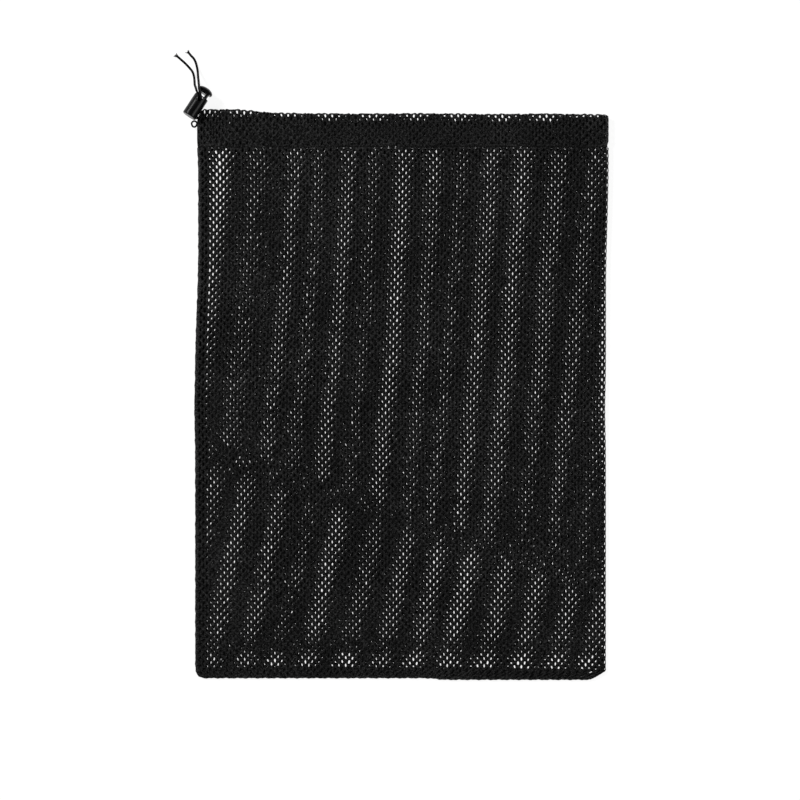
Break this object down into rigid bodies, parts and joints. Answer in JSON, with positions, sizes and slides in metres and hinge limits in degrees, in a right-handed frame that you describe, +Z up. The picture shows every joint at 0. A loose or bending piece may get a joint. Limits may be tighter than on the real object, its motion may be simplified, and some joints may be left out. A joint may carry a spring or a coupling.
{
  "type": "mesh laundry bag",
  "caption": "Flat mesh laundry bag with a hemmed mouth, a drawcord in the casing and a push-button cord lock that closes it.",
  "frame": {"origin": "middle of the bag's underside, on the surface that it lies on", "axes": "+Y towards the mouth, +X towards the folded side, +Z up through the thickness"},
  "size_m": [0.3718, 0.5396, 0.0212],
  "materials": {
    "mesh": "matte knitted polyester mesh",
    "thread": "matte sewing thread",
    "cord": "braided polyester cord",
    "plastic": "moulded, semi-gloss",
    "steel": "bright spring wire"
  },
  "bodies": {
    "bag": {"back_panel": "mesh", "front_panel": "mesh", "side_fold": "mesh", "side_seam_allowance": "mesh", "bottom_seam_allowance": "mesh", "back_casing": "mesh", "front_casing": "mesh", "casing_fold": "mesh", "side_seam_stitching": "thread", "bottom_seam_stitching": "thread", "front_hem_stitching": "thread", "back_hem_stitching": "thread", "drawcord_front_run": "cord", "drawcord_turn": "cord", "drawcord_back_run": "cord"},
    "cord_lock": {"lock_barrel": "plastic", "lock_spring": "steel", "drawcord_left_end": "cord", "drawcord_right_end": "cord", "drawcord_back_feed": "cord", "drawcord_front_feed": "cord"},
    "lock_button": {"lock_plunger": "plastic"}
  },
  "joints": [
    {"name": "drawcord_pull", "type": "slide", "parent": "bag", "child": "cord_lock", "axis": [-1, 0, 0], "range_m": [0, 0.075]},
    {"name": "plunger_press", "type": "slide", "parent": "cord_lock", "child": "lock_button", "axis": [-0.533, -0.8402, 0.1], "range_m": [0, 0.004], "stiffness_N_per_m": 350, "springref_m": -0.002, "deforming": ["lock_spring"]}
  ]
}
